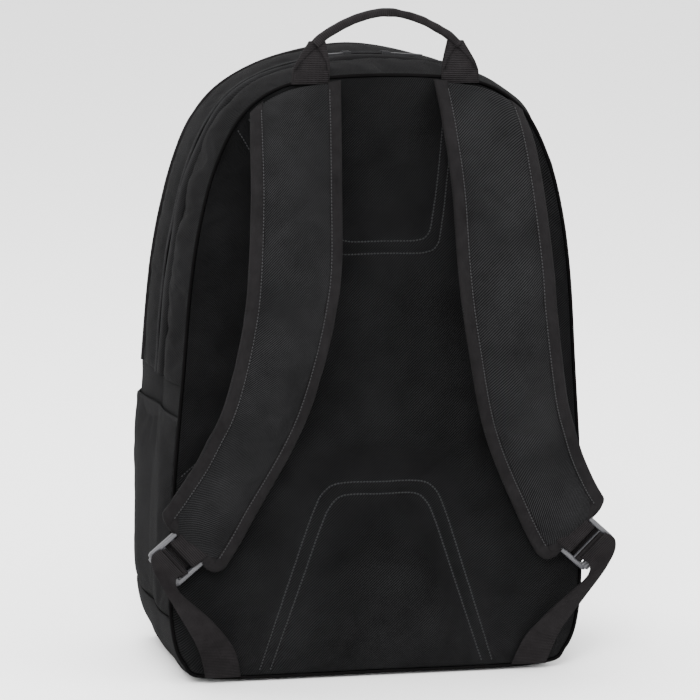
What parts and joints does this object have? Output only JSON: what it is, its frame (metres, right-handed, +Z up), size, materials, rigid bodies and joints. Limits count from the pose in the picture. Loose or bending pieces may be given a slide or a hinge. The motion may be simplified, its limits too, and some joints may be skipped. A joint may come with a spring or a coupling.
{
  "type": "school backpack",
  "caption": "School backpack with a quilted back, padded shoulder straps with ladder-lock buckles, a webbing haul handle, a zipped front half, a front pocket and side pockets.",
  "frame": {"origin": "centre of the flat base, which rests on the ground", "axes": "+Z up to the handle, -Y the back panel and the shoulder straps, +Y the front pocket, +X to the right of someone who looks at the back panel"},
  "size_m": [0.3498, 0.245, 0.488],
  "materials": {
    "canvas": "near-black woven canvas, matte",
    "webbing": "near-black ribbed webbing",
    "binding": "black grosgrain tape",
    "foam": "dark grey closed-cell foam",
    "lining": "dark grey plain-weave lining",
    "strap_lining": "black spacer mesh",
    "zip_tape": "black zip tape",
    "zip_teeth": "black coil",
    "slider_metal": "black painted slider",
    "buckle_plastic": "dark grey satin moulding"
  },
  "bodies": {
    "pack": {"back_panel": "canvas", "back_foam": "foam", "back_lining": "lining", "rear_piping": "binding", "rear_gusset": "canvas", "side_wall_left": "canvas", "side_wall_right": "canvas", "bottom_panel": "canvas", "side_pocket_left": "canvas", "side_pocket_right": "canvas", "pocket_hem_left": "binding", "pocket_hem_right": "binding", "zip_tape_rear": "zip_tape", "zip_teeth_rear": "zip_teeth", "rain_flap_rear": "canvas", "laptop_sleeve": "lining", "sleeve_binding": "binding", "front_panel_lower": "canvas", "front_pocket_panel": "canvas", "front_pocket_top": "canvas", "front_pocket_gusset": "canvas", "pocket_zip_tapes": "zip_tape", "pocket_zip_teeth": "zip_teeth", "strap_webbing_left": "webbing", "strap_webbing_right": "webbing"},
    "front_flap": {"front_panel_upper": "canvas", "front_gusset": "canvas", "edge_gusset": "canvas", "ridge_piping": "binding", "front_piping": "binding", "zip_tape_front": "zip_tape", "zip_teeth_front": "zip_teeth", "rain_flap_front": "canvas"},
    "handle": {"handle_webbing": "webbing", "handle_grip": "webbing"},
    "strap_left": {"strap_face_left": "canvas", "strap_foam_left": "foam", "strap_lining_left": "strap_lining", "strap_binding_left": "binding", "strap_tab_left": "webbing", "webbing_tail_left": "webbing"},
    "buckle_left": {"ladder_lock_left": "buckle_plastic"},
    "slider_left": {"zip_slider_left": "slider_metal"},
    "puller_left": {"zip_puller_left": "slider_metal"},
    "strap_right": {"strap_face_right": "canvas", "strap_foam_right": "foam", "strap_lining_right": "strap_lining", "strap_binding_right": "binding", "strap_tab_right": "webbing", "webbing_tail_right": "webbing"},
    "buckle_right": {"ladder_lock_right": "buckle_plastic"},
    "slider_right": {"zip_slider_right": "slider_metal"},
    "puller_right": {"zip_puller_right": "slider_metal"},
    "pocket_slider": {"pocket_slider": "slider_metal"},
    "pocket_puller": {"pocket_puller": "slider_metal"}
  },
  "joints": [
    {"name": "flap_open", "type": "hinge", "parent": "pack", "child": "front_flap", "pos_m": [0, 0.077, 0.2185], "axis": [-1, 0, 0], "range_deg": [0, 30]},
    {"name": "handle_swing", "type": "hinge", "parent": "pack", "child": "handle", "pos_m": [0, -0.0775, 0.4385], "axis": [1, 0, 0], "range_deg": [-45, 50]},
    {"name": "strap_left_swing", "type": "hinge", "parent": "pack", "child": "strap_left", "pos_m": [0, -0.078, 0.438], "axis": [-1, 0, 0], "range_deg": [0, 12], "deforming": ["strap_webbing_left"]},
    {"name": "buckle_left_tilt", "type": "hinge", "parent": "strap_left", "child": "buckle_left", "pos_m": [-0.14749, -0.09326, 0.10186], "axis": [0.662, 0.1354, -0.7372], "range_deg": [0, 7]},
    {"name": "slider_left_run", "type": "hinge", "parent": "pack", "child": "slider_left", "pos_m": [0, -0.017, 0.2192], "axis": [0, -1, 0], "range_deg": [0, 15]},
    {"name": "puller_left_flip", "type": "hinge", "parent": "slider_left", "child": "puller_left", "pos_m": [-0.01474, -0.017, 0.45033], "axis": [0, 1, 0], "range_deg": [0, 150]},
    {"name": "strap_right_swing", "type": "hinge", "parent": "pack", "child": "strap_right", "pos_m": [0, -0.078, 0.438], "axis": [-1, 0, 0], "range_deg": [0, 12], "deforming": ["strap_webbing_right"]},
    {"name": "buckle_right_tilt", "type": "hinge", "parent": "strap_right", "child": "buckle_right", "pos_m": [0.14749, -0.09326, 0.10186], "axis": [0.662, -0.1354, 0.7372], "range_deg": [0, 7]},
    {"name": "slider_right_run", "type": "hinge", "parent": "pack", "child": "slider_right", "pos_m": [0, -0.017, 0.2192], "axis": [0, 1, 0], "range_deg": [0, 15]},
    {"name": "puller_right_flip", "type": "hinge", "parent": "slider_right", "child": "puller_right", "pos_m": [0.01474, -0.017, 0.45033], "axis": [0, -1, 0], "range_deg": [0, 150]},
    {"name": "pocket_zip_run", "type": "slide", "parent": "pack", "child": "pocket_slider", "axis": [-1, 0, 0], "range_m": [0, 0.184]},
    {"name": "pocket_puller_swing", "type": "hinge", "parent": "pocket_slider", "child": "pocket_puller", "pos_m": [0.092, 0.1036, 0.184], "axis": [1, 0, 0], "range_deg": [0, 100]}
  ],
  "couplings": [
    {"joint": "slider_left_run", "follows": "flap_open", "ratio": 0.5},
    {"joint": "slider_right_run", "follows": "flap_open", "ratio": 0.5}
  ]
}
